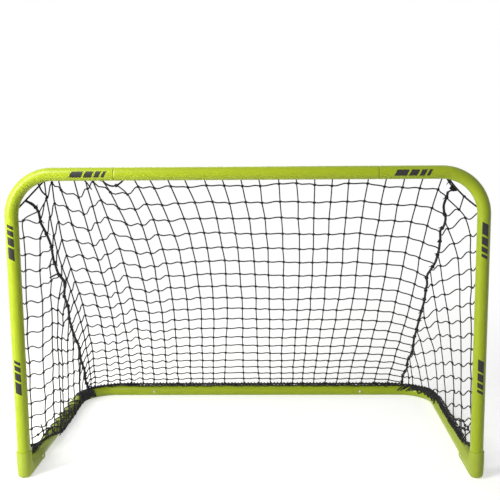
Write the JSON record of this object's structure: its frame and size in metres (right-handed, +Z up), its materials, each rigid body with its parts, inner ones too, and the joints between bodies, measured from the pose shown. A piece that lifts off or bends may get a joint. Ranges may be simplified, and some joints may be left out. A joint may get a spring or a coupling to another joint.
{
  "type": "mini soccer goal",
  "caption": "Small football goal: round steel tube frame with moulded foot elbows, snap-button joints, and a square-mesh net that slopes back to a ground bar.",
  "frame": {"origin": "on the floor, in the middle of the footprint", "axes": "+X to the right seen from the front, +Y from the goal mouth to the rear bar, +Z up"},
  "size_m": [1.2054, 0.6558, 0.8],
  "materials": {
    "lime_coat": "satin powder coat",
    "lime_plastic": "moulded, slightly textured",
    "zinc_steel": "zinc plated",
    "black_plastic": "moulded",
    "black_twine": "twisted polyethylene twine"
  },
  "bodies": {
    "frame": {"crossbar": "lime_coat", "rear_bar": "lime_coat", "left_post": "lime_coat", "right_post": "lime_coat", "left_base_tube": "lime_coat", "right_base_tube": "lime_coat", "left_foot_elbow": "lime_plastic", "right_foot_elbow": "lime_plastic", "crossbar_left_spring": "zinc_steel", "crossbar_right_spring": "zinc_steel", "rear_bar_left_spring": "zinc_steel", "rear_bar_right_spring": "zinc_steel", "post_left_spring": "zinc_steel", "post_right_spring": "zinc_steel", "base_left_spring": "zinc_steel", "base_right_spring": "zinc_steel", "crossbar_hook_1": "black_plastic", "crossbar_hook_2": "black_plastic", "crossbar_hook_3": "black_plastic", "crossbar_hook_4": "black_plastic", "crossbar_hook_5": "black_plastic", "crossbar_hook_6": "black_plastic", "left_post_hook_1": "black_plastic", "left_post_hook_2": "black_plastic", "left_post_hook_3": "black_plastic", "right_post_hook_1": "black_plastic", "right_post_hook_2": "black_plastic", "right_post_hook_3": "black_plastic", "rear_bar_hook_1": "black_plastic", "rear_bar_hook_2": "black_plastic", "rear_bar_hook_3": "black_plastic", "rear_bar_hook_4": "black_plastic", "rear_bar_hook_5": "black_plastic", "rear_bar_hook_6": "black_plastic", "head_rope": "black_twine", "base_rope": "black_twine", "left_seam_cord": "black_twine", "right_seam_cord": "black_twine", "net_back": "black_twine", "net_left": "black_twine", "net_right": "black_twine"},
    "crossbar_left_button": {"crossbar_left_button": "zinc_steel"},
    "crossbar_right_button": {"crossbar_right_button": "zinc_steel"},
    "rear_bar_left_button": {"rear_bar_left_button": "zinc_steel"},
    "rear_bar_right_button": {"rear_bar_right_button": "zinc_steel"},
    "post_left_button": {"post_left_button": "zinc_steel"},
    "post_right_button": {"post_right_button": "zinc_steel"},
    "base_left_button": {"base_left_button": "zinc_steel"},
    "base_right_button": {"base_right_button": "zinc_steel"}
  },
  "joints": [
    {"name": "crossbar_left_press", "type": "slide", "parent": "frame", "child": "crossbar_left_button", "axis": [0, -1, 0], "range_m": [0, 0.006], "stiffness_N_per_m": 1500, "springref_m": -0.004, "deforming": ["crossbar_left_spring"]},
    {"name": "crossbar_right_press", "type": "slide", "parent": "frame", "child": "crossbar_right_button", "axis": [0, -1, 0], "range_m": [0, 0.006], "stiffness_N_per_m": 1500, "springref_m": -0.004, "deforming": ["crossbar_right_spring"]},
    {"name": "rear_bar_left_press", "type": "slide", "parent": "frame", "child": "rear_bar_left_button", "axis": [0, 1, 0], "range_m": [0, 0.006], "stiffness_N_per_m": 1500, "springref_m": -0.004, "deforming": ["rear_bar_left_spring"]},
    {"name": "rear_bar_right_press", "type": "slide", "parent": "frame", "child": "rear_bar_right_button", "axis": [0, 1, 0], "range_m": [0, 0.006], "stiffness_N_per_m": 1500, "springref_m": -0.004, "deforming": ["rear_bar_right_spring"]},
    {"name": "post_left_press", "type": "slide", "parent": "frame", "child": "post_left_button", "axis": [0, -1, 0], "range_m": [0, 0.006], "stiffness_N_per_m": 1500, "springref_m": -0.004, "deforming": ["post_left_spring"]},
    {"name": "post_right_press", "type": "slide", "parent": "frame", "child": "post_right_button", "axis": [0, -1, 0], "range_m": [0, 0.006], "stiffness_N_per_m": 1500, "springref_m": -0.004, "deforming": ["post_right_spring"]},
    {"name": "base_left_press", "type": "slide", "parent": "frame", "child": "base_left_button", "axis": [-1, 0, 0], "range_m": [0, 0.006], "stiffness_N_per_m": 1500, "springref_m": -0.004, "deforming": ["base_left_spring"]},
    {"name": "base_right_press", "type": "slide", "parent": "frame", "child": "base_right_button", "axis": [1, 0, 0], "range_m": [0, 0.006], "stiffness_N_per_m": 1500, "springref_m": -0.004, "deforming": ["base_right_spring"]}
  ]
}
